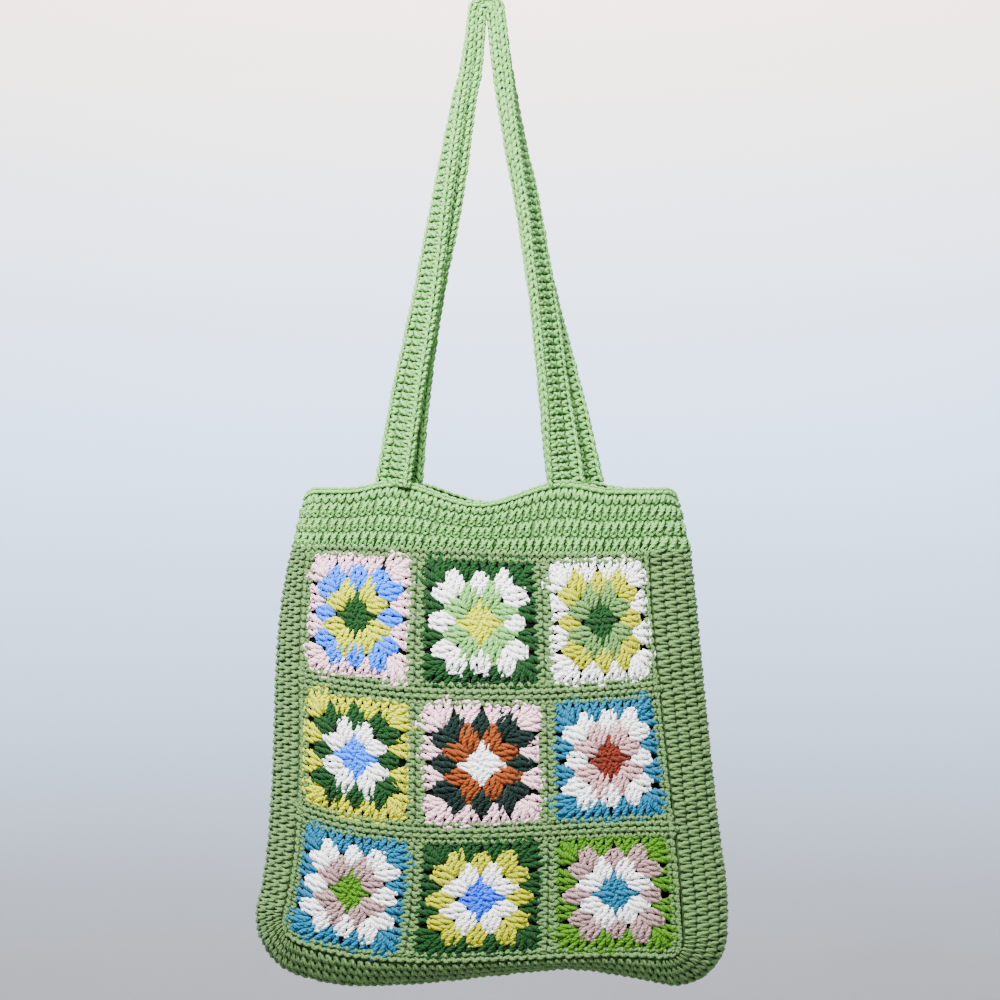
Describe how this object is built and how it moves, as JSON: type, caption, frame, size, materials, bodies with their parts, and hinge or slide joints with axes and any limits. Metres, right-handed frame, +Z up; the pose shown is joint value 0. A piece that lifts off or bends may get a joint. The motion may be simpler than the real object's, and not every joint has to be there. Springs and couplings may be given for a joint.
{
  "type": "crochet shoulder bag",
  "caption": "A soft crochet tote of granny squares in a green grid, with a swelling gusset, a band round its open mouth and long straps to hang or carry it by.",
  "frame": {"origin": "The point under both straps where the hook carries the hanging bag.", "axes": "+X to the viewer's right along the front panel, +Y back towards the wall, +Z up along the hanging straps."},
  "size_m": [0.3497, 0.05, 0.7403],
  "materials": {
    "sage_cotton": "matt mercerised cotton yarn, crocheted",
    "pale_pink_cotton": "matt cotton yarn, crocheted",
    "dark_green_cotton": "matt cotton yarn, crocheted",
    "white_cotton": "matt cotton yarn, crocheted",
    "yellow_cotton": "matt cotton yarn, crocheted",
    "turquoise_cotton": "matt cotton yarn, crocheted",
    "lime_cotton": "matt cotton yarn, crocheted"
  },
  "bodies": {
    "root": {"green_grid": "sage_cotton", "square_top_left": "pale_pink_cotton", "square_top_middle": "dark_green_cotton", "square_top_right": "white_cotton", "square_middle_left": "yellow_cotton", "square_middle_middle": "pale_pink_cotton", "square_middle_right": "turquoise_cotton", "square_bottom_left": "turquoise_cotton", "square_bottom_middle": "dark_green_cotton", "square_bottom_right": "lime_cotton", "back_panel": "sage_cotton", "gusset": "sage_cotton", "mouth_band": "sage_cotton", "front_strap": "sage_cotton", "back_strap": "sage_cotton"}
  },
  "joints": []
}
